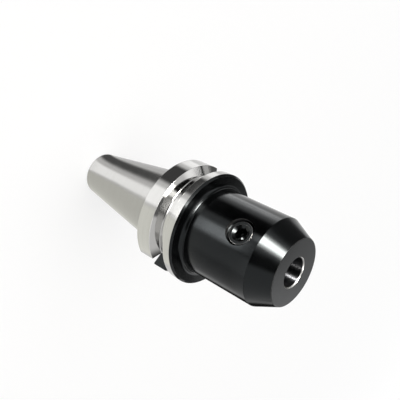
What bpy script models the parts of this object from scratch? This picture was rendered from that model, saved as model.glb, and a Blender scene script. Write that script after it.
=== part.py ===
"""A side-lock end mill holder with a 7/24 taper of size 40, and the screw that clamps the cutter.

Metres. The holder stands on the small end of its taper, and +Z runs up its axis to the nose.
The clamp screw faces -Y, and the two drive slots face +X and -X.
"""

from math import atan2, ceil, cos, pi, radians, sin, tan

import bmesh
import bpy
from mathutils import Vector

MM = 0.001

# Taper: heights of the flange and nose are counted from its gauge line
GAUGE_DIAMETER = 44.45 * MM
TAPER_LENGTH = 65.4 * MM
TAPER_RATE = 7 / 24
SMALL_END_ROUND = 1.0 * MM
RELIEF_DEPTH = 0.5 * MM
RELIEF_ROOT = 0.4 * MM

# Hole for the pull stud, from the small end up
STUD_SEAT_DIAMETER = 17.0 * MM
STUD_SEAT_DEPTH = 7.0 * MM
STUD_SEAT_CHAMFER = 0.6 * MM
STUD_CORE_DIAMETER = 13.9 * MM
STUD_HOLE_DEPTH = 43.0 * MM
COOLANT_DIAMETER = 8.0 * MM
DRILL_POINT_ANGLE = radians(118)

# Flange with its gripper groove
FLANGE_DIAMETER = 63.0 * MM
FLANGE_OFFSET = 2.0 * MM
FLANGE_THICKNESS = 25.0 * MM
FLANGE_BACK_CHAMFER = 0.5 * MM
FLANGE_FRONT_CHAMFER = 1.0 * MM
GROOVE_OFFSET = 16.6 * MM
GROOVE_WIDTH = 10.0 * MM
GROOVE_DEPTH = 5.0 * MM
GROOVE_ANGLE = radians(60)
GROOVE_EDGE_ROUND = 0.3 * MM
GROOVE_ROOT_ROUND = 0.8 * MM

# Drive slots: the floor stands clear of the gauge diameter
SLOT_WIDTH = 16.1 * MM
SLOT_FLOOR_STEP = 0.375 * MM
SLOT_REACH = 18.0 * MM
SLOT_CORNER_ROUND = 2.0 * MM

# Body and nose
NOSE_LENGTH = 80.0 * MM
BODY_DIAMETER = 48.0 * MM
NECK_FILLET = 2.5 * MM
SHOULDER_ROUND = 0.8 * MM
CONE_LENGTH = 12.0 * MM
NOSE_DIAMETER = 36.5 * MM
NOSE_ROUND = 0.4 * MM
BORE_DIAMETER = 16.0 * MM
BORE_DEPTH = 52.0 * MM
BORE_CHAMFER = 0.5 * MM

# Clamp screw: sunk below the body, with its tip a little inside the bore
SCREW_SETBACK = 24.0 * MM
SCREW_SINK = 2.0 * MM
SCREW_BITE = 2.0 * MM
THREAD_DIAMETER = 14.0 * MM
THREAD_PITCH = 1.5 * MM
THREAD_CLEARANCE = 0.3 * MM
SCREW_CHAMFER = 1.0 * MM
SCREW_TIP_CHAMFER = 1.6 * MM
KEY_WIDTH = 6.0 * MM
KEY_DEPTH = 7.0 * MM
KEY_TURN = radians(-5)
KEY_COUNTERSINK = 0.5 * MM
KEY_PILOT_WALL = 0.1 * MM
KEY_PILOT_RUN = 1.0 * MM

# Fineness of the round surfaces
BODY_STEPS = 76
SCREW_STEPS = 32
ARC_STEP = radians(16)
SHARP_ANGLE = radians(28)
CUTTER_MARGIN = 3.0 * MM

# Places that follow from the sizes above
GAUGE_HEIGHT = TAPER_LENGTH
FLANGE_BACK = GAUGE_HEIGHT + FLANGE_OFFSET
FLANGE_FRONT = FLANGE_BACK + FLANGE_THICKNESS
NOSE_HEIGHT = GAUGE_HEIGHT + NOSE_LENGTH
SCREW_HEIGHT = NOSE_HEIGHT - SCREW_SETBACK
SCREW_FACE = BODY_DIAMETER / 2 - SCREW_SINK
SCREW_TIP = BORE_DIAMETER / 2 - SCREW_BITE
SCREW_LENGTH = SCREW_FACE - SCREW_TIP
SLOT_FLOOR = GAUGE_DIAMETER / 2 + SLOT_FLOOR_STEP

STEEL, BLACK = 0, 1


def clear_scene():
    """Leaves no object in the scene."""
    for obj in list(bpy.data.objects):
        bpy.data.objects.remove(obj, do_unlink=True)


def principled(name, colour, metallic, roughness):
    """A plain surface of one colour."""
    material = bpy.data.materials.new(name)
    material.use_nodes = True
    shader = material.node_tree.nodes["Principled BSDF"]
    shader.inputs["Base Color"].default_value = (*colour, 1)
    shader.inputs["Metallic"].default_value = metallic
    shader.inputs["Roughness"].default_value = roughness
    return material


def rounded(corners):
    """The closed outline of (x, y, rounding) corners, with an arc at each corner that has a rounding."""
    points = []
    for index, (x, y, rounding) in enumerate(corners):
        corner = Vector((x, y))
        if rounding == 0:
            points.append(corner)
            continue
        before = (Vector(corners[index - 1][:2]) - corner).normalized()
        after = (Vector(corners[(index + 1) % len(corners)][:2]) - corner).normalized()
        half_angle = before.angle(after) / 2
        centre = corner + (before + after).normalized() * rounding / sin(half_angle)
        tangent = rounding / tan(half_angle)
        first = corner + before * tangent - centre
        last = corner + after * tangent - centre
        start = atan2(first.y, first.x)
        sweep = (atan2(last.y, last.x) - start + pi) % (2 * pi) - pi
        steps = max(2, ceil(abs(sweep) / ARC_STEP))
        for step in range(steps + 1):
            angle = start + sweep * step / steps
            points.append(centre + Vector((cos(angle), sin(angle))) * rounding)
    return points


def finished(name, bm, materials):
    """The object made from a bmesh, facing out and shaded smooth between its sharp edges."""
    bmesh.ops.remove_doubles(bm, verts=bm.verts, dist=1e-7)
    bmesh.ops.recalc_face_normals(bm, faces=bm.faces)
    mesh = bpy.data.meshes.new(name)
    bm.to_mesh(mesh)
    bm.free()
    for material in materials:
        mesh.materials.append(material)
    mesh.shade_smooth()
    mesh.set_sharp_from_angle(angle=SHARP_ANGLE)
    obj = bpy.data.objects.new(name, mesh)
    bpy.context.scene.collection.objects.link(obj)
    return obj


def turned(outline, steps, closed=True):
    """A bmesh of the outline of (radius, height) points, spun once round Z.

    An outline that isn't closed starts and ends on the axis.
    """
    bm = bmesh.new()
    verts = [bm.verts.new((radius, 0, height)) for radius, height in outline]
    pairs = list(zip(verts, verts[1:]))
    if closed:
        pairs.append((verts[-1], verts[0]))
    edges = [bm.edges.new(pair) for pair in pairs]
    bmesh.ops.spin(bm, geom=verts + edges, cent=(0, 0, 0), axis=(0, 0, 1), angle=2 * pi, steps=steps, use_merge=True)
    return bm


def prism(outline, low, high):
    """A bmesh of the flat outline, drawn from one height to another."""
    bm = bmesh.new()
    face = bm.faces.new([bm.verts.new((x, y, low)) for x, y in outline])
    raised = bmesh.ops.extrude_face_region(bm, geom=[face])
    lifted = [item for item in raised["geom"] if isinstance(item, bmesh.types.BMVert)]
    bmesh.ops.translate(bm, verts=lifted, vec=(0, 0, high - low))
    return bm


def regular_outline(radius, sides, first_angle=0.0):
    """The corners of a regular polygon round the origin."""
    angles = [first_angle + 2 * pi * side / sides for side in range(sides)]
    return [(radius * cos(angle), radius * sin(angle)) for angle in angles]


def cut(target, cutter):
    """Takes the cutter's shape out of the target, and keeps the cutter as a hidden guide."""
    cutter.parent = target
    cutter.hide_render = True
    cutter.display_type = "WIRE"
    boolean = target.modifiers.new(cutter.name, "BOOLEAN")
    boolean.operation = "DIFFERENCE"
    boolean.solver = "EXACT"
    boolean.object = cutter


def drill_point(narrowing):
    """Height of a drill's conical end over which its radius falls by this much."""
    return narrowing / tan(DRILL_POINT_ANGLE / 2)


def outer_corners():
    """Corners of the holder's outside, from the small end's face up to the nose's face."""
    gauge = GAUGE_DIAMETER / 2
    small_end = gauge - TAPER_LENGTH * TAPER_RATE / 2
    relief = gauge - RELIEF_DEPTH
    flange = FLANGE_DIAMETER / 2
    groove_root = flange - GROOVE_DEPTH
    groove_centre = GAUGE_HEIGHT + GROOVE_OFFSET
    half_mouth = GROOVE_WIDTH / 2
    half_floor = half_mouth - GROOVE_DEPTH * tan(GROOVE_ANGLE / 2)
    body = BODY_DIAMETER / 2
    taper = [
        (small_end, 0, SMALL_END_ROUND),
        (gauge, GAUGE_HEIGHT, 0),
        (relief, GAUGE_HEIGHT + RELIEF_DEPTH, 0),
        (relief, FLANGE_BACK, RELIEF_ROOT),
    ]
    back_ring = [
        (flange - FLANGE_BACK_CHAMFER, FLANGE_BACK, 0),
        (flange, FLANGE_BACK + FLANGE_BACK_CHAMFER, 0),
        (flange, groove_centre - half_mouth, GROOVE_EDGE_ROUND),
        (groove_root, groove_centre - half_floor, GROOVE_ROOT_ROUND),
    ]
    front_ring = [
        (groove_root, groove_centre + half_floor, GROOVE_ROOT_ROUND),
        (flange, groove_centre + half_mouth, GROOVE_EDGE_ROUND),
        (flange, FLANGE_FRONT - FLANGE_FRONT_CHAMFER, 0),
        (flange - FLANGE_FRONT_CHAMFER, FLANGE_FRONT, 0),
    ]
    nose = [
        (body, FLANGE_FRONT, NECK_FILLET),
        (body, NOSE_HEIGHT - CONE_LENGTH, SHOULDER_ROUND),
        (NOSE_DIAMETER / 2, NOSE_HEIGHT, NOSE_ROUND),
    ]
    return taper + back_ring + front_ring + nose


def inner_corners():
    """Corners of the hole that runs right through, from the nose's face down to the small end's face."""
    bore = BORE_DIAMETER / 2
    coolant = COOLANT_DIAMETER / 2
    core = STUD_CORE_DIAMETER / 2
    seat = STUD_SEAT_DIAMETER / 2
    bore_floor = NOSE_HEIGHT - BORE_DEPTH
    shank_bore = [
        (bore + BORE_CHAMFER, NOSE_HEIGHT, 0),
        (bore, NOSE_HEIGHT - BORE_CHAMFER, 0),
        (bore, bore_floor, 0),
        (coolant, bore_floor - drill_point(bore - coolant), 0),
    ]
    stud_hole = [
        (coolant, STUD_HOLE_DEPTH + drill_point(core - coolant), 0),
        (core, STUD_HOLE_DEPTH, 0),
        (core, STUD_SEAT_DEPTH, 0),
        (seat, STUD_SEAT_DEPTH, 0),
        (seat, STUD_SEAT_CHAMFER, 0),
        (seat + STUD_SEAT_CHAMFER, 0, 0),
    ]
    return shank_bore + stud_hole


def blacken_nose(bm):
    """Gives the black finish to the faces in front of the flange's ground rim, outside the bore."""
    rim = FLANGE_FRONT - FLANGE_FRONT_CHAMFER
    inside = BORE_DIAMETER / 2 + BORE_CHAMFER
    for face in bm.faces:
        centre = face.calc_center_median()
        face.material_index = BLACK if centre.z > rim and centre.xy.length > inside else STEEL


def blacken(bm):
    """Gives the black finish to every face."""
    for face in bm.faces:
        face.material_index = BLACK


def slot_cutter(materials):
    """Both drive slots: open at the flange's back, with rounded corners at the closed end."""
    half_width = SLOT_WIDTH / 2
    closed_end = FLANGE_BACK + SLOT_REACH
    outline = rounded([
        (-half_width, FLANGE_BACK - FLANGE_OFFSET, 0),
        (half_width, FLANGE_BACK - FLANGE_OFFSET, 0),
        (half_width, closed_end, SLOT_CORNER_ROUND),
        (-half_width, closed_end, SLOT_CORNER_ROUND),
    ])
    bm = prism(outline, SLOT_FLOOR, FLANGE_DIAMETER / 2 + CUTTER_MARGIN)
    for vert in bm.verts:
        vert.co = (vert.co.z, vert.co.x, vert.co.y)
    blacken(bm)
    cutter = finished("drive_slot_cutter", bm, materials)
    mirror = cutter.modifiers.new("opposite_slot", "MIRROR")
    mirror.use_axis[0] = True
    return cutter


def screw_hole_cutter(materials):
    """The hole for the clamp screw, from outside the body to the bore's axis."""
    radius = THREAD_DIAMETER / 2 + THREAD_CLEARANCE
    bm = prism(regular_outline(radius, SCREW_STEPS), 0, BODY_DIAMETER / 2 + CUTTER_MARGIN)
    blacken(bm)
    cutter = finished("screw_hole_cutter", bm, materials)
    cutter.location.z = SCREW_HEIGHT
    cutter.rotation_euler.x = pi / 2
    return cutter


def holder_body(materials):
    """The one-piece holder, turned round Z, with its drive slots and the clamp screw's hole."""
    bm = turned(rounded(outer_corners() + inner_corners()), BODY_STEPS)
    blacken_nose(bm)
    body = finished("holder_body", bm, materials)
    cut(body, slot_cutter(materials))
    cut(body, screw_hole_cutter(materials))
    return body


def thread_cutter(materials):
    """The groove between the clamp screw's threads, run past both ends.

    The groove has 60 degree flanks, a crest flat of an eighth of the pitch and a narrower root flat.
    """
    crest = THREAD_DIAMETER / 2
    depth = 0.6134 * THREAD_PITCH
    half_root = THREAD_PITCH / 12
    outside = crest + 0.05 * THREAD_PITCH
    half_mouth = half_root + (depth + outside - crest) * tan(pi / 6)
    profile = [
        (crest - depth, -half_root),
        (outside, -half_mouth),
        (outside + CUTTER_MARGIN, -half_mouth),
        (outside + CUTTER_MARGIN, half_mouth),
        (outside, half_mouth),
        (crest - depth, half_root),
    ]
    turns = ceil(SCREW_LENGTH / THREAD_PITCH) + 2
    bm = bmesh.new()
    face = bm.faces.new([bm.verts.new((radius, 0, height - THREAD_PITCH)) for radius, height in profile])
    bmesh.ops.spin(
        bm,
        geom=[face],
        cent=(0, 0, 0),
        axis=(0, 0, 1),
        dvec=(0, 0, THREAD_PITCH / SCREW_STEPS),
        angle=2 * pi * turns,
        steps=SCREW_STEPS * turns,
    )
    cutter = finished("thread_cutter", bm, materials)
    cutter.rotation_euler.z = pi / SCREW_STEPS
    return cutter


def key_cutter(materials):
    """The hexagon for the key, sunk into the screw's face."""
    corner_radius = KEY_WIDTH / 2 / cos(pi / 6)
    outline = regular_outline(corner_radius, 6, KEY_TURN)
    bm = prism(outline, SCREW_LENGTH - KEY_DEPTH, SCREW_LENGTH + CUTTER_MARGIN)
    return finished("key_cutter", bm, materials)


def clamp_screw(materials):
    """The side-lock screw: its tip at the origin, and local +Z running out to the face with the key's socket."""
    crest = THREAD_DIAMETER / 2
    pilot = KEY_WIDTH / 2 - KEY_PILOT_WALL
    countersink = KEY_WIDTH / 2 / cos(pi / 6) + KEY_COUNTERSINK
    pilot_floor = SCREW_LENGTH - KEY_DEPTH - KEY_PILOT_RUN
    outline = [
        (0, 0),
        (crest - SCREW_TIP_CHAMFER, 0),
        (crest, SCREW_TIP_CHAMFER),
        (crest, SCREW_LENGTH - SCREW_CHAMFER),
        (crest - SCREW_CHAMFER, SCREW_LENGTH),
        (countersink, SCREW_LENGTH),
        (pilot, SCREW_LENGTH - (countersink - pilot) * tan(pi / 6)),
        (pilot, pilot_floor),
        (0, pilot_floor - drill_point(pilot)),
    ]
    screw = finished("clamp_screw", turned(outline, SCREW_STEPS, closed=False), materials)
    cut(screw, thread_cutter(materials))
    cut(screw, key_cutter(materials))
    screw.location = (0, -SCREW_TIP, SCREW_HEIGHT)
    screw.rotation_euler.x = pi / 2
    return screw


def main():
    clear_scene()
    ground_steel = principled("ground_steel", (0.62, 0.61, 0.59), 1.0, 0.32)
    black_oxide = principled("black_oxide", (0.012, 0.013, 0.015), 0.3, 0.38)
    dark_screw_steel = principled("dark_screw_steel", (0.03, 0.03, 0.03), 0.8, 0.35)
    body = holder_body([ground_steel, black_oxide])
    screw = clamp_screw([dark_screw_steel])
    screw.parent = body


main()
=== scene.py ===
"""Looks of the side-lock end mill holder: ground taper and flange, black body and clamp screw.

Metres. The holder stands on the small end of its taper, and +Z runs up its axis to the nose.
"""

import logging
from dataclasses import dataclass
from enum import Enum
from math import atan2, ceil, cos, pi, radians, sin, tan

import bmesh
import bpy
from mathutils import Matrix, Vector


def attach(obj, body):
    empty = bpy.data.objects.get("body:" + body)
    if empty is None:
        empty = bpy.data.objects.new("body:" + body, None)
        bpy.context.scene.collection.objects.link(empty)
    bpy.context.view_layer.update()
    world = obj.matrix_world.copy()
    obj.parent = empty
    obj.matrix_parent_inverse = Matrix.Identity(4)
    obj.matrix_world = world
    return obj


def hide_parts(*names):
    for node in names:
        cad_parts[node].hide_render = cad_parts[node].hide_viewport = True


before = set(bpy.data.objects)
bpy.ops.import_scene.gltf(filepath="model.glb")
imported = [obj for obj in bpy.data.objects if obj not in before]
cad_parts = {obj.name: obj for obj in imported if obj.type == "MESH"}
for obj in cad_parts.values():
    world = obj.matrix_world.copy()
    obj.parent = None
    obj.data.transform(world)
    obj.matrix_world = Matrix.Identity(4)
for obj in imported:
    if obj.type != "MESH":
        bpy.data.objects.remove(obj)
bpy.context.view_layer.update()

MM = 0.001
LOG = logging.getLogger("end_mill_holder")
Colour = tuple[float, float, float]
Pair = tuple[float, float]
BMesh = bmesh.types.BMesh
Socket = bpy.types.NodeSocket
Materials = tuple[bpy.types.Material, ...]

# Noise seldom leaves this band, so ramps stretch it over their whole range
NOISE_BAND: Pair = (0.3, 0.7)


class Finish(Enum):
    """Surface finishes of the holder, in the order of its material slots."""

    GROUND_TAPER = 0
    GROUND_RIM = 1
    BLACK_TURNED = 2
    # the honed bore wall, whose near-black colour is painted shade of the deep bore
    HONED_BORE = 3
    BLACK_MILLED = 4
    TURNED_BARE = 5


class ScrewFinish(Enum):
    """The clamp screw's one finish, in its one material slot."""

    OILED_BLACK = 0


class Axis(Enum):
    """The line that a piece was turned round."""

    HOLDER = "Z"
    SCREW = "Y"


class Ray(Enum):
    """Kinds of ray that may see a thing on the stage."""

    CAMERA = "visible_camera"
    DIFFUSE = "visible_diffuse"
    GLOSSY = "visible_glossy"
    TRANSMISSION = "visible_transmission"
    SHADOW = "visible_shadow"


@dataclass(frozen=True)
class Thread:
    """A 60 degree thread in a round wall: how far the wall moves at each angle and height."""

    pitch: float
    depth: float
    low: float
    high: float
    root_share: float = 1 / 6

    def offset(self, angle: float, height: float) -> float:
        """Finds how deep the groove is at one place on the wall.

        Args:
            angle: Angle round the axis, in radians.
            height: Height along the axis.

        Returns:
            The depth of the groove there, from 0 at the crest to the full depth.
        """
        if not self.low < height < self.high:
            return 0.0
        phase = (height / self.pitch - angle / (2 * pi)) % 1.0
        away = abs(phase - 0.5) * self.pitch
        half_root = self.pitch * self.root_share / 2
        half_mouth = half_root + self.depth * tan(pi / 6)
        share = (half_mouth - away) / (half_mouth - half_root)
        fade = min(1.0, (self.high - height) / self.pitch, (height - self.low) / self.pitch)
        return self.depth * max(0.0, min(1.0, share)) * max(0.0, fade)


@dataclass(frozen=True)
class Corner:
    """One corner of a turned outline, with the finish of the wall that runs on from it."""

    radius: float
    height: float
    rounding: float
    finish: Finish | ScrewFinish
    thread: Thread | None = None


@dataclass(frozen=True)
class Ring:
    """One ring of points on a turned surface."""

    radius: float
    height: float
    finish: Finish | ScrewFinish
    wear: float = 0.0
    thread: Thread | None = None


@dataclass(frozen=True)
class Outline:
    """A closed turned outline, made of corners that may be rounded."""

    corners: tuple[Corner, ...]
    arc_step: float = radians(9)
    least_arc_steps: int = 3
    thread_rows: int = 8
    worn_rounding: float = 0.6 * MM

    def rings(self) -> list[Ring]:
        """Gives the outline's points, with arcs at the rounded corners and close rows on threads.

        Returns:
            The rings of the whole outline, in order.
        """
        found: list[Ring] = []
        for index, corner in enumerate(self.corners):
            after = self.corners[(index + 1) % len(self.corners)]
            found.extend(self._arc(self.corners[index - 1], corner, after))
            if corner.thread:
                found.extend(self._thread_wall(corner, after))
        return found

    def _arc(self, before: Corner, corner: Corner, after: Corner) -> list[Ring]:
        """Rounds one corner.

        Args:
            before: The corner before it.
            corner: The corner itself.
            after: The corner after it.

        Returns:
            The rings of its arc, or one ring where it is sharp.
        """
        if corner.rounding == 0:
            return [Ring(corner.radius, corner.height, corner.finish)]
        place = Vector((corner.radius, corner.height))
        back = (Vector((before.radius, before.height)) - place).normalized()
        on = (Vector((after.radius, after.height)) - place).normalized()
        half = back.angle(on) / 2
        centre = place + (back + on).normalized() * corner.rounding / sin(half)
        reach = corner.rounding / tan(half)
        first = place + back * reach - centre
        last = place + on * reach - centre
        start = atan2(first.y, first.x)
        sweep = (atan2(last.y, last.x) - start + pi) % (2 * pi) - pi
        steps = max(self.least_arc_steps, ceil(abs(sweep) / self.arc_step))
        wear = 1.0 if corner.rounding < self.worn_rounding else 0.0
        rings = []
        for step in range(steps + 1):
            angle = start + sweep * step / steps
            point = centre + Vector((cos(angle), sin(angle))) * corner.rounding
            finish = corner.finish if step >= steps / 2 else before.finish
            rings.append(Ring(point.x, point.y, finish, wear if 0 < step < steps else 0.0))
        return rings

    def _thread_wall(self, corner: Corner, after: Corner) -> list[Ring]:
        """Gives the close rows of a wall that carries a thread.

        Args:
            corner: The corner that the wall runs on from.
            after: The corner where it ends.

        Returns:
            The rings between the two corners.
        """
        run = after.height - corner.height
        rows = ceil(abs(run) / corner.thread.pitch * self.thread_rows)
        return [
            Ring(
                corner.radius + (after.radius - corner.radius) * row / rows,
                corner.height + run * row / rows,
                corner.finish,
                0.0,
                corner.thread,
            )
            for row in range(1, rows)
        ]


@dataclass(frozen=True)
class Lathe:
    """Spins outlines into meshes round Z."""

    steps: int
    on_axis: float = 1e-6

    def spin(self, rings: list[Ring], grow: float = 1.0) -> BMesh:
        """Makes a closed turned surface.

        Args:
            rings: Rings of the closed outline, in order.
            grow: 1 where a thread's grooves run out from the wall's radius, -1 where they run in.

        Returns:
            A bmesh whose faces carry the finish of their ring and whose points carry edge wear.
        """
        bm = bmesh.new()
        wear = bm.verts.layers.float.new("edge_wear")
        grid = [self._ring_verts(bm, ring, grow, wear) for ring in rings]
        for index, ring in enumerate(rings):
            low, high = grid[index], grid[(index + 1) % len(grid)]
            for step in range(self.steps):
                after = (step + 1) % self.steps
                corners = dict.fromkeys((low[step], low[after], high[after], high[step]))
                if len(corners) > 2:
                    bm.faces.new(tuple(corners)).material_index = ring.finish.value
        bmesh.ops.recalc_face_normals(bm, faces=bm.faces)
        return bm

    def _ring_verts(
        self, bm: BMesh, ring: Ring, grow: float, wear: bmesh.types.BMLayerItem
    ) -> list[bmesh.types.BMVert]:
        """Makes the points of one ring.

        Args:
            bm: The mesh that they go into.
            ring: The ring.
            grow: The way that a thread's grooves run, as for spin.
            wear: The layer that keeps each point's edge wear.

        Returns:
            One point for each step round, or the same point each time where the ring lies on the axis.
        """
        if ring.radius < self.on_axis:
            return [bm.verts.new((0, 0, ring.height))] * self.steps
        verts = []
        for step in range(self.steps):
            angle = 2 * pi * step / self.steps
            radius = ring.radius
            if ring.thread:
                radius += grow * ring.thread.offset(angle, ring.height)
            vert = bm.verts.new((radius * cos(angle), radius * sin(angle), ring.height))
            vert[wear] = ring.wear
            verts.append(vert)
        return verts


@dataclass(frozen=True)
class Workshop:
    """Turns bmeshes into objects, cuts them and finishes their edges."""

    sharp_angle: float = radians(32)
    broken_angle: float = radians(25)
    weld_distance: float = 2e-6
    large_face_lead: int = 100

    def object_of(self, name: str, bm: BMesh, finishes: Materials = ()) -> bpy.types.Object:
        """Makes an object from a bmesh, and frees the bmesh.

        Args:
            name: The object's name.
            bm: Its faces.
            finishes: Its materials, in the order of the faces' slots.

        Returns:
            The object, linked to the scene.
        """
        mesh = bpy.data.meshes.new(name)
        for finish in finishes:
            mesh.materials.append(finish)
        bm.to_mesh(mesh)
        bm.free()
        obj = bpy.data.objects.new(name, mesh)
        bpy.context.scene.collection.objects.link(obj)
        return obj

    def prism(self, outline: list[Pair], low: float, high: float) -> BMesh:
        """Draws a flat outline up Z from one height to another.

        Args:
            outline: Points of the flat outline, in order.
            low: Height of its foot.
            high: Height of its head.

        Returns:
            The closed solid as a bmesh.
        """
        bm = bmesh.new()
        face = bm.faces.new([bm.verts.new((x, y, low)) for x, y in outline])
        raised = bmesh.ops.extrude_face_region(bm, geom=[face])
        lifted = [item for item in raised["geom"] if isinstance(item, bmesh.types.BMVert)]
        bmesh.ops.translate(bm, verts=lifted, vec=(0, 0, high - low))
        bmesh.ops.recalc_face_normals(bm, faces=bm.faces)
        return bm

    def cut(self, target: bpy.types.Object, cutters: list[bpy.types.Object]) -> None:
        """Takes the cutters' shapes out of the target for good, and removes the cutters.

        Args:
            target: The piece that is cut.
            cutters: Closed solids in the frame of the target.
        """
        for cutter in cutters:
            boolean = target.modifiers.new(cutter.name, "BOOLEAN")
            boolean.operation = "DIFFERENCE"
            boolean.solver = "EXACT"
            boolean.object = cutter
        bpy.context.view_layer.update()
        evaluated = target.evaluated_get(bpy.context.evaluated_depsgraph_get())
        shaped = bpy.data.meshes.new_from_object(evaluated)
        target.modifiers.clear()
        target.data = shaped
        shaped.name = target.name
        for cutter in cutters:
            bpy.data.objects.remove(cutter, do_unlink=True)

    def break_edges(self, obj: bpy.types.Object, milled: set[int], width: float) -> None:
        """Chamfers the edges between milled walls and turned ones, and marks them as worn.

        Args:
            obj: The piece.
            milled: Material slots of the milled walls.
            width: How far back the edge is taken.
        """
        bm = bmesh.new()
        bm.from_mesh(obj.data)
        bmesh.ops.remove_doubles(bm, verts=bm.verts, dist=self.weld_distance)
        wear = bm.verts.layers.float.get("edge_wear") or bm.verts.layers.float.new("edge_wear")
        edges = [
            edge
            for edge in bm.edges
            if len(edge.link_faces) == 2
            and len({face.material_index in milled for face in edge.link_faces}) == 2
            and edge.calc_face_angle(0.0) > self.broken_angle
        ]
        made = bmesh.ops.bevel(
            bm, geom=edges, offset=width, segments=2, profile=0.5, affect="EDGES", clamp_overlap=True
        )
        broken = set(made["faces"])
        for vert in made["verts"]:
            vert[wear] = float(all(face in broken for face in vert.link_faces))
        bm.to_mesh(obj.data)
        bm.free()

    def smooth(self, obj: bpy.types.Object) -> None:
        """Shades the piece smooth between its sharp edges, with normals led by the large faces.

        Args:
            obj: The piece.
        """
        obj.data.shade_smooth()
        obj.data.set_sharp_from_angle(angle=self.sharp_angle)
        weighted = obj.modifiers.new("even_shading", "WEIGHTED_NORMAL")
        weighted.keep_sharp = True
        weighted.weight = self.large_face_lead


class NodeBench:
    """Adds shader nodes to one material and joins them."""

    def __init__(self, material: bpy.types.Material | bpy.types.World) -> None:
        """Clears the material's nodes and keeps its tree.

        Args:
            material: The material, or the world.
        """
        material.use_nodes = True
        self.tree = material.node_tree
        self.tree.nodes.clear()

    def add(self, kind: str, **settings: object) -> bpy.types.Node:
        """Adds one node.

        Args:
            kind: The node's type name, without the leading ShaderNode.
            settings: Its attributes.

        Returns:
            The new node.
        """
        node = self.tree.nodes.new("ShaderNode" + kind)
        for name, value in settings.items():
            setattr(node, name, value)
        return node

    def feed(self, node: bpy.types.Node, **sources: object) -> bpy.types.Node:
        """Sets or joins a node's sockets.

        Args:
            node: The node.
            sources: A value or an output socket for each input, whose name is written in small
                letters with _ for a space.

        Returns:
            The same node.
        """
        for name, source in sources.items():
            socket = self.socket(node, name)
            if isinstance(source, Socket):
                self.tree.links.new(source, socket)
            else:
                socket.default_value = source
        return node

    def socket(self, node: bpy.types.Node, name: str) -> Socket:
        """Finds an input of a node.

        Args:
            node: The node.
            name: The input's name in small letters, or the letter n and its place.

        Returns:
            The input.
        """
        if name[0] == "n" and name[1:].isdigit():
            return node.inputs[int(name[1:])]
        return next(s for s in node.inputs if s.enabled and s.name.lower().replace(" ", "_") == name)

    def maths(self, operation: str, first: object, second: object = 0.0) -> Socket:
        """Works out one sum of two values or sockets."""
        node = self.add("Math", operation=operation)
        return self.feed(node, n0=first, n1=second).outputs[0]

    def ramp(self, source: Socket, to_low: float, to_high: float, band: Pair = NOISE_BAND) -> Socket:
        """Maps a band of the source's values on to the run from to_low to to_high, and stops there."""
        node = self.add("MapRange", clamp=True)
        return self.feed(node, n0=source, n1=band[0], n2=band[1], n3=to_low, n4=to_high).outputs[0]

    def edge_wear(self) -> Socket:
        """Gives the wear that the mesh keeps at its points."""
        return self.add("Attribute", attribute_name="edge_wear").outputs["Fac"]

    def noise(self, vector: Socket, scale: float, detail: float) -> Socket:
        """Gives smooth noise of one scale over the vector."""
        node = self.add("TexNoise", noise_dimensions="3D")
        return self.feed(node, vector=vector, scale=scale, detail=detail).outputs[0]

    def mix(self, share: object, first: object, second: object) -> Socket:
        """Mixes two colours."""
        node = self.add("Mix", data_type="RGBA")
        return self.feed(node, n0=share, n6=first, n7=second).outputs[2]

    def turning_lines(self, axis: Axis, along: float, across: float) -> Socket:
        """Gives a vector on which noise draws fine rings round an axis.

        Args:
            axis: The axis that the piece was turned round.
            along: Steps of noise for each metre along a ring.
            across: Steps of noise for each metre across the rings.

        Returns:
            The socket of the vector.
        """
        place = self.add("SeparateXYZ")
        self.tree.links.new(self.add("TexCoord").outputs["Object"], place.inputs[0])
        x, y, z = place.outputs
        if axis is Axis.SCREW:
            y, z = z, y
        square = self.maths("ADD", self.maths("MULTIPLY", x, x), self.maths("MULTIPLY", y, y))
        reach = self.maths("ADD", z, self.maths("SQRT", square))
        made = self.add("CombineXYZ")
        self.feed(
            made,
            x=self.maths("MULTIPLY", x, along),
            y=self.maths("MULTIPLY", y, along),
            z=self.maths("MULTIPLY", reach, across),
        )
        return made.outputs[0]


def material_with(name: str) -> tuple[bpy.types.Material, NodeBench]:
    """Makes a material, and the bench that its nodes are built on."""
    material = bpy.data.materials.new(name)
    return material, NodeBench(material)


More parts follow.
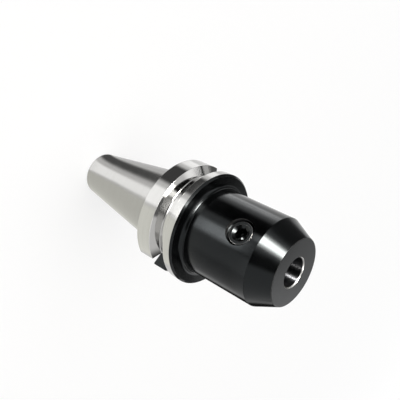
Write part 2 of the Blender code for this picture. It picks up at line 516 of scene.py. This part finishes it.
@dataclass(frozen=True)
class BareSteel:
    """Bare steel with the fine rings of a grinding wheel, a hone or a turning tool."""

    name: str
    colour: Colour
    shade: Colour
    roughness: float
    ring_pitch: float
    ring_depth: float
    axis: Axis = Axis.HOLDER
    anisotropy: float = 0.45
    worn: Colour = (0.78, 0.77, 0.75)
    fine_streaks: float = 260.0
    broad_streaks: float = 25.0
    broad_share: float = 0.16
    cloud_scale: float = 95.0
    gloss_swing: float = 0.17

    def material(self) -> bpy.types.Material:
        """Makes the finish.

        Returns:
            A material whose rings vary its colour, its gloss and its bump.
        """
        material, bench = material_with(self.name)
        lines = bench.turning_lines(self.axis, self.fine_streaks, 1 / self.ring_pitch)
        fine = bench.noise(lines, 1.0, 3.0)
        lines = bench.turning_lines(self.axis, self.broad_streaks, self.broad_share / self.ring_pitch)
        broad = bench.noise(lines, 1.0, 2.0)
        cloud = bench.noise(bench.add("TexCoord").outputs["Object"], self.cloud_scale, 3.0)
        tone = bench.maths("ADD", bench.maths("MULTIPLY", fine, 0.5), bench.maths("MULTIPLY", broad, 0.5))
        tone = bench.maths("MULTIPLY", bench.ramp(tone, 0.0, 1.0), bench.ramp(cloud, 0.75, 1.0))
        base = bench.mix(tone, (*self.shade, 1), (*self.colour, 1))
        base = bench.mix(bench.maths("MULTIPLY", bench.edge_wear(), 0.5), base, (*self.worn, 1))
        swing = self.gloss_swing * self.roughness
        patchy = bench.ramp(cloud, -0.6 * swing, 0.9 * swing)
        gloss = bench.maths("ADD", bench.ramp(fine, -swing, swing), patchy)
        bump = bench.add("Bump")
        bench.feed(bump, strength=0.35, distance=self.ring_depth, height=fine)
        tangent = bench.add("Tangent", direction_type="RADIAL", axis=self.axis.value)
        shader = bench.add("BsdfPrincipled")
        bench.feed(
            shader,
            base_color=base,
            metallic=1.0,
            roughness=bench.maths("ADD", gloss, self.roughness),
            anisotropic=self.anisotropy,
            anisotropic_rotation=0.25,  # a quarter turn: gloss stretches across the rings
            normal=bump.outputs[0],
            tangent=tangent.outputs[0],
        )
        bench.feed(bench.add("OutputMaterial"), surface=shader.outputs[0])
        return material


@dataclass(frozen=True)
class BlackOxide:
    """Black oxide on steel: dark and satin, a little worn to grey steel along its edges."""

    name: str
    colour: Colour
    haze: Colour
    roughness: float
    ring_pitch: float
    ring_depth: float
    ior: float = 1.34
    wear: float = 0.14
    sheen_tint: Colour = (0.90, 0.97, 1.0)
    axis: Axis = Axis.HOLDER
    worn: Colour = (0.34, 0.33, 0.32)
    streaks: float = 200.0
    cloud_scale: float = 70.0
    grain_scale: float = 4200.0
    patch_scale: float = 900.0

    def material(self) -> bpy.types.Material:
        """Makes the finish.

        Returns:
            A material with faint rings, a soft cloud in its tone and lighter edges.
        """
        material, bench = material_with(self.name)
        fine = bench.noise(bench.turning_lines(self.axis, self.streaks, 1 / self.ring_pitch), 1.0, 2.0)
        place = bench.add("TexCoord").outputs["Object"]
        cloud = bench.noise(place, self.cloud_scale, 4.0)
        grain = bench.noise(place, self.grain_scale, 2.0)
        patches = bench.noise(place, self.patch_scale, 3.0)
        rubbed = bench.ramp(patches, 0.4 * self.wear, self.wear, band=(0.35, 0.65))
        worn = bench.maths("MULTIPLY", bench.edge_wear(), rubbed)
        base = bench.mix(bench.ramp(cloud, 0.0, 1.0), (*self.colour, 1), (*self.haze, 1))
        base = bench.mix(worn, base, (*self.worn, 1))
        gloss = bench.maths("ADD", bench.ramp(cloud, -0.03, 0.04), bench.ramp(grain, -0.03, 0.03))
        height = bench.maths("ADD", fine, bench.maths("MULTIPLY", grain, 0.35))
        bump = bench.add("Bump")
        bench.feed(bump, strength=0.3, distance=self.ring_depth, height=height)
        shader = bench.add("BsdfPrincipled")
        bench.feed(
            shader,
            base_color=base,
            metallic=bench.maths("MULTIPLY", worn, 0.9),
            roughness=bench.maths("ADD", gloss, self.roughness),
            ior=self.ior,
            specular_tint=(*self.sheen_tint, 1),
            normal=bump.outputs[0],
        )
        bench.feed(bench.add("OutputMaterial"), surface=shader.outputs[0])
        return material


@dataclass
class Holder:
    """The one-piece holder: taper, flange, black body and nose."""

    gauge_diameter: float = 44.45 * MM
    taper_length: float = 65.4 * MM
    taper_rate: float = 7 / 24
    relief_depth: float = 0.5 * MM
    stud_seat_diameter: float = 17.0 * MM
    stud_seat_depth: float = 7.0 * MM
    stud_core_diameter: float = 13.9 * MM
    stud_hole_depth: float = 43.0 * MM
    stud_thread_pitch: float = 2.0 * MM
    stud_thread_depth: float = 1.0 * MM
    coolant_diameter: float = 8.0 * MM
    drill_point: float = radians(118)
    flange_diameter: float = 63.0 * MM
    flange_offset: float = 2.0 * MM
    flange_thickness: float = 25.0 * MM
    groove_offset: float = 16.6 * MM
    groove_width: float = 10.0 * MM
    groove_depth: float = 5.0 * MM
    groove_angle: float = radians(60)
    slot_width: float = 16.1 * MM
    slot_floor: float = 22.6 * MM
    slot_reach: float = 18.0 * MM
    slot_corner: float = 2.0 * MM
    nose_length: float = 80.0 * MM
    body_diameter: float = 48.0 * MM
    neck_fillet: float = 2.5 * MM
    cone_length: float = 12.0 * MM
    nose_diameter: float = 36.5 * MM
    bore_diameter: float = 16.0 * MM
    bore_depth: float = 52.0 * MM
    screw_setback: float = 24.0 * MM
    screw_hole_diameter: float = 14.3 * MM
    screw_hole_mouth: float = 14.6 * MM
    screw_hole_break: float = 0.3 * MM
    screw_hole_start: float = 2.0 * MM
    screw_thread_pitch: float = 1.5 * MM
    screw_thread_depth: float = 0.62 * MM
    edge_break: float = 0.25 * MM
    cutter_overrun: float = 3.0 * MM
    corner_steps: int = 6
    steps: int = 128
    screw_hole_steps: int = 72
    shop: Workshop = Workshop()

    @property
    def flange_back(self) -> float:
        """Height of the flange's back face."""
        return self.taper_length + self.flange_offset

    @property
    def nose_height(self) -> float:
        """Height of the nose's face."""
        return self.taper_length + self.nose_length

    @property
    def screw_height(self) -> float:
        """Height of the clamp screw's axis."""
        return self.nose_height - self.screw_setback

    def _point_run(self, narrowing: float) -> float:
        """Height of a drill's conical end over which its radius falls by this much."""
        return narrowing / tan(self.drill_point / 2)

    def _taper_corners(self) -> list[Corner]:
        """Corners from the small end's face to the flange.

        Returns:
            The corners, from the small end up.
        """
        gauge = self.gauge_diameter / 2
        small = gauge - self.taper_length * self.taper_rate / 2
        relief = gauge - self.relief_depth
        return [
            Corner(small, 0, 1.0 * MM, Finish.GROUND_TAPER),
            Corner(gauge, self.taper_length, 0.12 * MM, Finish.TURNED_BARE),
            Corner(relief, self.taper_length + self.relief_depth, 0, Finish.TURNED_BARE),
            Corner(relief, self.flange_back, 0.4 * MM, Finish.TURNED_BARE),
        ]

    def _flange_corners(self) -> list[Corner]:
        """Corners of both rings and the gripper's groove between them.

        Returns:
            The corners, from the back ring's foot to the black face.
        """
        rim = self.flange_diameter / 2
        root = rim - self.groove_depth
        middle = self.taper_length + self.groove_offset
        half_mouth = self.groove_width / 2
        half_floor = half_mouth - self.groove_depth * tan(self.groove_angle / 2)
        back, front = self.flange_back, self.flange_back + self.flange_thickness
        return [
            Corner(rim - 0.5 * MM, back, 0.1 * MM, Finish.GROUND_RIM),
            Corner(rim, back + 0.5 * MM, 0.15 * MM, Finish.GROUND_RIM),
            Corner(rim, middle - half_mouth, 0.3 * MM, Finish.GROUND_RIM),
            Corner(root, middle - half_floor, 0.8 * MM, Finish.GROUND_RIM),
            Corner(root, middle + half_floor, 0.8 * MM, Finish.GROUND_RIM),
            Corner(rim, middle + half_mouth, 0.3 * MM, Finish.GROUND_RIM),
            Corner(rim, front - 1.0 * MM, 0, Finish.BLACK_TURNED),
            Corner(rim - 1.0 * MM, front, 0.12 * MM, Finish.BLACK_TURNED),
        ]

    def _nose_corners(self) -> list[Corner]:
        """Corners of the body, the cone and the nose's face.

        Returns:
            The corners, from the neck to the nose.
        """
        body = self.body_diameter / 2
        return [
            Corner(body, self.flange_back + self.flange_thickness, self.neck_fillet, Finish.BLACK_TURNED),
            Corner(body, self.nose_height - self.cone_length, 0.8 * MM, Finish.BLACK_TURNED),
            Corner(self.nose_diameter / 2, self.nose_height, 0.4 * MM, Finish.BLACK_TURNED),
        ]

    def _bore_corners(self) -> list[Corner]:
        """Corners of the shank bore and the coolant hole, from the nose inwards.

        Returns:
            The corners, from the bore's mouth to the drill point.
        """
        bore, coolant = self.bore_diameter / 2, self.coolant_diameter / 2
        floor = self.nose_height - self.bore_depth
        return [
            Corner(bore + 0.5 * MM, self.nose_height, 0.06 * MM, Finish.TURNED_BARE),
            Corner(bore, self.nose_height - 0.5 * MM, 0.06 * MM, Finish.HONED_BORE),
            Corner(bore, floor, 0, Finish.TURNED_BARE),
            Corner(coolant, floor - self._point_run(bore - coolant), 0, Finish.TURNED_BARE),
        ]

    def _stud_corners(self) -> list[Corner]:
        """Corners of the pull stud's threaded hole, down to the small end's face.

        Returns:
            The corners, from the drill point out to the face.
        """
        coolant, core = self.coolant_diameter / 2, self.stud_core_diameter / 2
        seat = self.stud_seat_diameter / 2
        low, high = self.stud_seat_depth + 0.2 * MM, self.stud_hole_depth - self.stud_thread_pitch
        thread = Thread(self.stud_thread_pitch, self.stud_thread_depth, low, high)
        return [
            Corner(coolant, self.stud_hole_depth + self._point_run(core - coolant), 0, Finish.TURNED_BARE),
            Corner(core, self.stud_hole_depth, 0, Finish.TURNED_BARE, thread),
            Corner(core, self.stud_seat_depth, 0, Finish.TURNED_BARE),
            Corner(seat, self.stud_seat_depth, 0.3 * MM, Finish.TURNED_BARE),
            Corner(seat, 0.6 * MM, 0.1 * MM, Finish.TURNED_BARE),
            Corner(seat + 0.6 * MM, 0, 0.1 * MM, Finish.GROUND_TAPER),
        ]

    def _slot_cutters(self, finishes: Materials) -> list[bpy.types.Object]:
        """Makes the milling paths of both drive slots, open at the flange's back.

        Args:
            finishes: The holder's materials.

        Returns:
            One cutter for each slot.
        """
        half, top = self.slot_width / 2, self.flange_back + self.slot_reach
        low = self.flange_back - self.cutter_overrun
        flat = [(-half, low), (half, low)]
        for side in (1, -1):
            for step in range(self.corner_steps + 1):
                share = step / self.corner_steps
                angle = pi / 2 * (share if side == 1 else 1 - share)
                across = half - self.slot_corner + self.slot_corner * cos(angle)
                flat.append((side * across, top - self.slot_corner * (1 - sin(angle))))
        cutters = []
        for side in (1, -1):
            bm = self.shop.prism(flat, self.slot_floor, self.flange_diameter / 2 + self.cutter_overrun)
            for vert in bm.verts:
                vert.co = (side * vert.co.z, side * vert.co.x, vert.co.y)
            for face in bm.faces:
                face.material_index = Finish.BLACK_MILLED.value
            cutters.append(self.shop.object_of(f"drive_slot_path_{side}", bm, finishes))
        return cutters

    def _screw_hole_cutter(self, finishes: Materials) -> bpy.types.Object:
        """Makes the tap's path for the clamp screw, with its broken mouth.

        Args:
            finishes: The holder's materials.

        Returns:
            The cutter, lying along -Y at the screw's height.
        """
        crest, mouth = self.screw_hole_diameter / 2, self.screw_hole_mouth / 2
        start, outside = self.screw_hole_start, self.body_diameter / 2
        mouth_foot = outside - 2 * self.screw_hole_break
        last = mouth_foot - self.screw_hole_break
        thread = Thread(self.screw_thread_pitch, self.screw_thread_depth, start, last)
        black = Finish.BLACK_MILLED
        rings = Outline((
            Corner(0, start, 0, black),
            Corner(crest, start, 0, black, thread),
            Corner(crest, last, 0, black),
            Corner(mouth, mouth_foot, 0, black),
            Corner(mouth, outside + self.cutter_overrun, 0, black),
            Corner(0, outside + self.cutter_overrun, 0, black),
        )).rings()
        cutter = self.shop.object_of("tap_path", Lathe(self.screw_hole_steps).spin(rings), finishes)
        cutter.rotation_euler.x = pi / 2
        cutter.location.z = self.screw_height
        return cutter

    def _materials(self) -> Materials:
        """Makes the finishes.

        Returns:
            The materials, in the order of the material slots.
        """
        bright, shade = (0.46, 0.457, 0.449), (0.42, 0.416, 0.405)
        taper, taper_shade = (0.40, 0.397, 0.388), (0.37, 0.366, 0.356)
        # painted shade: the honed bore's steel is given near-black colours so that the inside of the deep
        # bore looks shaded; real honed steel is far lighter
        bore, bore_painted_shade_dark = (0.048, 0.049, 0.052), (0.038, 0.039, 0.042)
        black, haze = (0.0007, 0.0008, 0.0009), (0.0017, 0.0018, 0.0020)
        made = {
            Finish.GROUND_TAPER: BareSteel("ground_taper", taper, taper_shade, 0.21, 0.16 * MM, 0.0012 * MM),
            Finish.GROUND_RIM: BareSteel("ground_rim", bright, shade, 0.075, 0.20 * MM, 0.0012 * MM),
            Finish.BLACK_TURNED: BlackOxide("black_oxide", black, haze, 0.145, 0.24 * MM, 0.0012 * MM),
            # honed bore: real honing rings and gloss, over a near-black base colour that is painted shade of
            # the deep bore
            Finish.HONED_BORE: BareSteel(
                "honed_bore", bore, bore_painted_shade_dark, 0.29, 0.12 * MM, 0.001 * MM, anisotropy=1.0
            ),
            Finish.BLACK_MILLED: BlackOxide("milled_black_oxide", black, haze, 0.30, 0.5 * MM, 0.006 * MM),
            Finish.TURNED_BARE: BareSteel("turned_steel", bright, shade, 0.28, 0.30 * MM, 0.008 * MM),
        }
        return tuple(made[finish].material() for finish in Finish)

    def build(self) -> bpy.types.Object:
        """Turns, mills, taps and dresses the holder.

        Returns:
            The finished piece, riding on its body.
        """
        corners = self._taper_corners() + self._flange_corners() + self._nose_corners()
        corners += self._bore_corners() + self._stud_corners()
        bm = Lathe(self.steps).spin(Outline(tuple(corners)).rings())
        finishes = self._materials()
        piece = self.shop.object_of("side_lock_holder", bm, finishes)
        self.shop.cut(piece, [*self._slot_cutters(finishes), self._screw_hole_cutter(finishes)])
        self.shop.break_edges(piece, {Finish.BLACK_MILLED.value}, self.edge_break)
        self.shop.smooth(piece)
        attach(piece, "holder")
        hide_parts("holder_body")
        return piece


@dataclass
class ClampScrew:
    """The side-lock screw with its fine thread and hexagon socket, facing -Y."""

    thread_diameter: float = 14.0 * MM
    pitch: float = 1.5 * MM
    face: float = 22.0 * MM
    tip: float = 6.0 * MM
    height: float = 121.4 * MM
    chamfer: float = 1.0 * MM
    tip_chamfer: float = 1.6 * MM
    thread_depth: float = 0.6134  # of the pitch, as on a metric screw
    key_width: float = 6.0 * MM
    key_depth: float = 7.0 * MM
    key_turn: float = radians(-5)
    key_sink: float = 1.2 * MM
    pilot_inset: float = 0.1 * MM
    pilot_overrun: float = 1.0 * MM
    drill_point: float = radians(118)
    cutter_overrun: float = 3.0 * MM
    steps: int = 96
    shop: Workshop = Workshop()

    @property
    def length(self) -> float:
        """Length from tip to face."""
        return self.face - self.tip

    @property
    def key_corner(self) -> float:
        """Distance of the hexagon's corners from its middle."""
        return self.key_width / 2 / cos(pi / 6)

    def _blank(self) -> BMesh:
        """Turns the threaded blank, with the countersink and pilot of the key's socket.

        Returns:
            The blank, standing on its tip.
        """
        crest = self.thread_diameter / 2
        pilot = self.key_width / 2 - self.pilot_inset
        sink = self.key_corner + self.key_sink
        length, floor = self.length, self.length - self.key_depth - self.pilot_overrun
        black = ScrewFinish.OILED_BLACK
        past = 3 * self.pitch
        thread = Thread(self.pitch, self.thread_depth * self.pitch, -past, length + past)
        rings = Outline((
            Corner(0, 0, 0, black),
            Corner(crest - self.tip_chamfer, 0, 0.12 * MM, black),
            Corner(crest, self.tip_chamfer, 0, black, thread),
            Corner(crest, length - self.chamfer, 0, black),
            Corner(crest - self.chamfer, length, 0.3 * MM, black),
            Corner(sink, length, 0.1 * MM, black),
            Corner(pilot, length - (sink - pilot) * tan(pi / 6), 0, black),
            Corner(pilot, floor, 0, black),
            Corner(0, floor - pilot / tan(self.drill_point / 2), 0, black),
        )).rings()
        return Lathe(self.steps).spin(rings, grow=-1.0)

    def _key_path(self) -> bpy.types.Object:
        """Makes the hexagon that is broached into the face.

        Returns:
            The cutter, in the frame of the blank.
        """
        corner = self.key_corner
        turns = [self.key_turn + pi / 3 * k for k in range(6)]
        flat = [(corner * cos(turn), corner * sin(turn)) for turn in turns]
        path = self.shop.prism(flat, self.length - self.key_depth, self.length + self.cutter_overrun)
        return self.shop.object_of("key_path", path)

    def build(self) -> bpy.types.Object:
        """Turns, threads, broaches and dresses the screw.

        Returns:
            The finished piece, riding on its body.
        """
        piece = self.shop.object_of("side_lock_screw", self._blank())
        self.shop.cut(piece, [self._key_path()])
        place = Matrix.Translation((0, -self.tip, self.height))
        piece.data.transform(place @ Matrix.Rotation(pi / 2, 4, "X"))
        piece.data.materials.clear()
        black, haze = (0.001, 0.001, 0.001), (0.002, 0.002, 0.002)
        oiled = BlackOxide(
            "oiled_black_screw", black, haze, 0.16, 0.2 * MM, 0.002 * MM, wear=0.9, axis=Axis.SCREW
        )
        piece.data.materials.append(oiled.material())
        self.shop.smooth(piece)
        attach(piece, "screw")
        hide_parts("clamp_screw")
        return piece


def only_seen_by(obj: bpy.types.Object, *rays: Ray) -> None:
    """Lets only these kinds of ray see a thing on the stage."""
    for ray in Ray:
        setattr(obj, ray.value, ray in rays)


class Stand(Enum):
    """Where a card of the studio is put up."""

    TABLE = "flat on the table"
    WALL = "upright round the table"
    CEILING = "flat overhead"


@dataclass(frozen=True)
class Card:
    """A soft box or dark card, bent round the holder, whose edges fade into the white behind it."""

    name: str
    stand: Stand
    middle: float
    half_width: float
    near: float
    far: float
    tone: float
    fade: float = 8.0
    end_fade: float = 0.02
    tint: Colour = (1.0, 1.0, 1.0)
    table_height: float = -0.05 * MM
    ceiling_height: float = 1.3
    rim_rows: int = 4
    inner_rows: int = 6

    def _cover(self, turn: float, reach: float) -> float:
        """Finds how much of the card is there at one place.

        Args:
            turn: Degrees from the card's middle.
            reach: Distance out from the axis, or height of an upright card.

        Returns:
            0 at the card's faded rim, and 1 inside it.
        """
        side = (self.half_width + self.fade / 2 - abs(turn)) / self.fade
        ends = min(reach - self.near, self.far - reach) / self.end_fade
        share = max(0.0, min(1.0, side, ends))
        return share * share * (3 - 2 * share)

    def build(self, front: float, wall_radius: float) -> None:
        """Bends the card and stands it up, where only gloss sees it.

        Args:
            front: Azimuth of the holder's front, in degrees.
            wall_radius: How far off the upright cards stand.
        """
        bm = bmesh.new()
        cover = bm.verts.layers.float.new("cover")
        half = self.half_width + self.fade / 2
        columns = max(8, ceil(half))
        rim = [self.end_fade * k / self.rim_rows for k in range(self.rim_rows + 1)]
        inner = [(self.far - self.near) * k / self.inner_rows for k in range(1, self.inner_rows)]
        reaches = sorted({self.near + at for at in rim + inner} | {self.far - at for at in rim})
        grid = []
        for reach in reaches:
            row = []
            for column in range(columns + 1):
                turn = -half + 2 * half * column / columns
                angle = radians(front + self.middle + turn)
                out, height = {
                    Stand.TABLE: (reach, self.table_height),
                    Stand.WALL: (wall_radius, reach),
                    Stand.CEILING: (reach, self.ceiling_height),
                }[self.stand]
                vert = bm.verts.new((out * cos(angle), out * sin(angle), height))
                vert[cover] = self._cover(turn, reach)
                row.append(vert)
            grid.append(row)
        for low, high in zip(grid, grid[1:]):
            for column in range(columns):
                bm.faces.new((low[column], low[column + 1], high[column + 1], high[column]))
        card = Workshop().object_of(self.name, bm)
        material, bench = material_with(self.name)
        share = bench.add("Attribute", attribute_name="cover").outputs["Fac"]
        light = bench.feed(bench.add("Emission"), color=(*self.tint, 1), strength=self.tone)
        clear = bench.add("BsdfTransparent")
        mixed = bench.feed(bench.add("MixShader"), n0=share, n1=clear.outputs[0], n2=light.outputs[0])
        bench.feed(bench.add("OutputMaterial"), surface=mixed.outputs[0])
        card.data.materials.append(material)
        only_seen_by(card, Ray.GLOSSY)


@dataclass(frozen=True)
class Lamp:
    """A lamp that hangs over the table and faces the holder's axis."""

    name: str
    turn: float
    out: float
    height: float
    power: float
    aim: Pair = (0.0, 0.08)
    colour: Colour = (1.0, 0.972, 0.925)

    def _light(self) -> bpy.types.Light:
        """Makes the light itself, in the way of each kind of lamp."""
        raise NotImplementedError

    def build(self, front: float) -> bpy.types.Object:
        """Makes the lamp and hangs it.

        Args:
            front: Azimuth of the holder's front, in degrees.

        Returns:
            The lamp's object.
        """
        data = self._light()
        data.color = self.colour
        data.energy = self.power
        lamp = bpy.data.objects.new(self.name, data)
        angle = radians(front + self.turn)
        lamp.location = (self.out * cos(angle), self.out * sin(angle), self.height)
        target = Vector((self.aim[0] * cos(angle), self.aim[0] * sin(angle), self.aim[1]))
        lamp.rotation_mode = "QUATERNION"
        lamp.rotation_quaternion = (target - lamp.location).to_track_quat("-Z", "Y")
        bpy.context.scene.collection.objects.link(lamp)
        return lamp


@dataclass(frozen=True)
class SoftBox(Lamp):
    """A rectangular soft lamp."""

    size: Pair = (0.3, 0.3)

    def _light(self) -> bpy.types.Light:
        """Makes the panel of light.

        Returns:
            The light.
        """
        data = bpy.data.lights.new(self.name, "AREA")
        data.shape = "RECTANGLE"
        data.size, data.size_y = self.size
        return data


@dataclass(frozen=True)
class Snoot(Lamp):
    """A small lamp in a tube, whose narrow beam reaches little more than the bore."""

    aim: Pair = (-0.007, 0.141)
    opening: float = 0.012
    beam: float = radians(1.1)
    beam_fade: float = 0.3

    def _light(self) -> bpy.types.Light:
        """Makes the narrow beam.

        Returns:
            The light.
        """
        data = bpy.data.lights.new(self.name, "SPOT")
        data.shadow_soft_size = self.opening
        data.spot_size = self.beam
        data.spot_blend = self.beam_fade
        return data


@dataclass
class Studio:
    """Pale floor, white surround, soft lamps, and the cards that shape the bands in the metal."""

    floor_size: float = 6.0
    floor_height: float = -0.1 * MM
    floor_tone: float = 0.95
    white_share: float = 0.74
    all_white: Pair = (0.2, 1.0)
    ambient: float = 0.45
    front: float = -76.5
    wall_radius: float = 0.8
    overhead: SoftBox = SoftBox(
        "overhead_softbox", -32, 0.47, 1.55, 21.0, colour=(1.0, 0.985, 0.955), size=(1.6, 1.6)
    )
    gloss_lamps: tuple[Lamp, ...] = (
        SoftBox("key_strip", -33, 0.8, 0.45, 13.0, size=(0.26, 0.34)),
        SoftBox("key_fringe", -33, 0.81, 0.45, 6.5, size=(0.46, 0.38)),
        SoftBox("high_strip", -42, 0.78, 1.15, 6.5, size=(0.62, 0.12)),
        SoftBox("top_strip", -68, 0.36, 1.33, 1.1, size=(0.30, 0.30)),
        Snoot("bore_snoot_left", -39, 0.6, 0.645, 900.0),
        Snoot("bore_snoot_right", 54, 0.6, 0.645, 130.0),
    )
    cards: tuple[Card, ...] = (
        Card("dark_card_near", Stand.TABLE, -66, 20, 0.0, 0.08, 0.12, 16, 0.01),
        Card("dark_card_left", Stand.TABLE, -59, 22, 0.075, 0.16, 0.09, 10, 0.01),
        Card("dark_card_left_far", Stand.TABLE, -59, 22, 0.15, 1.2, 0.01, 10, 0.01),
        Card("front_strip", Stand.TABLE, -9, 17, 0.0, 0.17, 1.9, 8),
        Card("warm_card", Stand.TABLE, 75, 62, 0.0, 0.09, 1.0, 16, 0.01, (1.0, 1.0, 0.93)),
        Card("warm_card_far", Stand.TABLE, 60, 47, 0.085, 0.17, 1.2, 14, 0.01, (1.0, 1.0, 0.93)),
        Card("grey_card_left", Stand.TABLE, -125, 28, 0.0, 0.09, 0.84, 14, 0.01),
        Card("left_strip", Stand.TABLE, -103, 11, 0.09, 1.2, 1.7, 10),
        Card("front_strip_far", Stand.TABLE, -3, 13, 0.15, 0.214, 6.8, 12, 0.01),
        Card("front_strip_end", Stand.TABLE, -1, 12, 0.206, 0.238, 10.5, 12, 0.01),
        Card("groove_dark_card", Stand.TABLE, 4, 14, 0.238, 0.275, 0.25, 8, 0.006),
        Card("groove_strip", Stand.TABLE, -30, 7, 0.258, 0.31, 6.0, 6, 0.008),
        Card("groove_card", Stand.TABLE, 42, 19, 0.258, 0.45, 1.7, 6, 0.02),
        Card("left_strip_far", Stand.TABLE, -106, 9, 0.15, 0.29, 3.6, 10),
        Card("grey_card_right", Stand.TABLE, 88, 32, 0.15, 0.262, 0.62, 20),
        Card("dark_card_right", Stand.TABLE, 150, 15, 0.14, 1.2, 0.02, 12),
        Card("back_strip", Stand.TABLE, 188, 12, 0.0, 1.2, 1.7, 10),
        Card("dark_wall_left", Stand.WALL, -112, 49, 0.05, 0.46, 0.16, 10),
        Card("groove_wall_left", Stand.WALL, -112, 11, 0.62, 1.25, 1.7, 10),
        Card("dark_wall_front", Stand.WALL, 12, 17, 0.05, 1.3, 0.08, 12),
        Card("dark_wall_back", Stand.WALL, 181, 64, 0.56, 1.2, 0.02, 12),
        Card("dark_wall_right", Stand.WALL, 134, 12, 0.12, 0.31, 0.04, 8),
        Card("dark_horizon_right", Stand.WALL, 78, 34, 0.0, 0.14, 0.08, 14, 0.05),
        Card("dark_far_right", Stand.TABLE, 100, 20, 0.50, 1.0, 0.06, 14, 0.08),
        Card("white_wall_back", Stand.WALL, 158, 17, 0.40, 0.58, 1.6, 12),
        Card("grey_wall_back", Stand.WALL, 216, 36, 0.40, 0.60, 0.74, 16),
        Card("dark_top", Stand.CEILING, 10, 50, 0.0, 0.42, 0.2, 10),
    )

    def _white_for_eye_and_gloss(self, bench: NodeBench) -> Socket:
        """Tells the rays that see plain white from those that light the holder.

        Args:
            bench: The bench of the floor's or the world's nodes.

        Returns:
            The socket of 1 for camera, glossy and transmission rays, and 0 for the rest.
        """
        path = bench.add("LightPath")
        both = bench.maths("MAXIMUM", path.outputs["Is Camera Ray"], path.outputs["Is Glossy Ray"])
        return bench.maths("MAXIMUM", both, path.outputs["Is Transmission Ray"])

    def _floor(self) -> None:
        """Lays the pale floor, which keeps the holder's shadow."""
        bm = bmesh.new()
        bmesh.ops.create_circle(bm, cap_ends=True, segments=96, radius=self.floor_size / 2)
        bmesh.ops.translate(bm, verts=bm.verts, vec=(0, 0, self.floor_height))
        floor = Workshop().object_of("studio_floor", bm)
        material, bench = material_with("pale_floor")
        matt = bench.feed(bench.add("BsdfDiffuse"), color=(*[self.floor_tone] * 3, 1))
        white = bench.feed(bench.add("Emission"), color=(1, 1, 1, 1), strength=1.0)
        place = bench.add("TexCoord").outputs["Object"]
        reach = bench.feed(bench.add("VectorMath", operation="LENGTH"), n0=place)
        white_share = bench.ramp(reach.outputs["Value"], self.white_share, 1.0, band=self.all_white)
        share = bench.maths("MULTIPLY", self._white_for_eye_and_gloss(bench), white_share)
        mixed = bench.feed(bench.add("MixShader"), n0=share, n1=matt.outputs[0], n2=white.outputs[0])
        bench.feed(bench.add("OutputMaterial"), surface=mixed.outputs[0])
        floor.data.materials.append(material)

    def _world(self) -> None:
        """Sets the white surround, and a plain even light from it."""
        world = bpy.data.worlds.new("white_surround")
        bpy.context.scene.world = world
        bench = NodeBench(world)
        strength = bench.ramp(self._white_for_eye_and_gloss(bench), self.ambient, 1.0, band=(0.0, 1.0))
        light = bench.feed(bench.add("Background"), color=(1, 1, 1, 1), strength=strength)
        bench.feed(bench.add("OutputWorld"), surface=light.outputs[0])

    def build(self) -> None:
        """Builds floor, surround, lamps and cards."""
        self._floor()
        self._world()
        self.overhead.build(self.front).visible_glossy = False
        for lamp in self.gloss_lamps:
            only_seen_by(lamp.build(self.front), Ray.GLOSSY)
        for card in self.cards:
            card.build(self.front, self.wall_radius)


@dataclass
class PhotoCamera:
    """The camera at the photograph's viewing angle."""

    eye: tuple[float, float, float] = (0.05998, -0.25010, 0.26107)
    aim: tuple[float, float, float] = (-0.01124, -0.00324, 0.07642)
    roll: float = radians(115.96)
    lens: float = 51.78
    sensor: float = 36.0
    clip: Pair = (0.01, 20.0)

    def build(self) -> bpy.types.Object:
        """Places the camera.

        Returns:
            The scene's camera.
        """
        data = bpy.data.cameras.new("photo_camera")
        data.lens = self.lens
        data.sensor_width = self.sensor
        data.clip_start, data.clip_end = self.clip
        camera = bpy.data.objects.new("photo_camera", data)
        level = (Vector(self.aim) - Vector(self.eye)).to_track_quat("-Z", "Y").to_matrix().to_4x4()
        camera.matrix_world = Matrix.Translation(self.eye) @ level @ Matrix.Rotation(self.roll, 4, "Z")
        bpy.context.scene.collection.objects.link(camera)
        bpy.context.scene.camera = camera
        return camera


def main() -> None:
    """Builds the camera, the studio and both pieces, and reports each."""
    logging.basicConfig(level=logging.INFO, format="%(name)s: %(message)s")
    bpy.context.scene.view_settings.view_transform = "Standard"
    PhotoCamera().build()
    Studio().build()
    for maker in (Holder(), ClampScrew()):
        piece = maker.build()
        LOG.info("%s has %d faces", piece.name, len(piece.data.polygons))


if __name__ == "__main__":
    main()
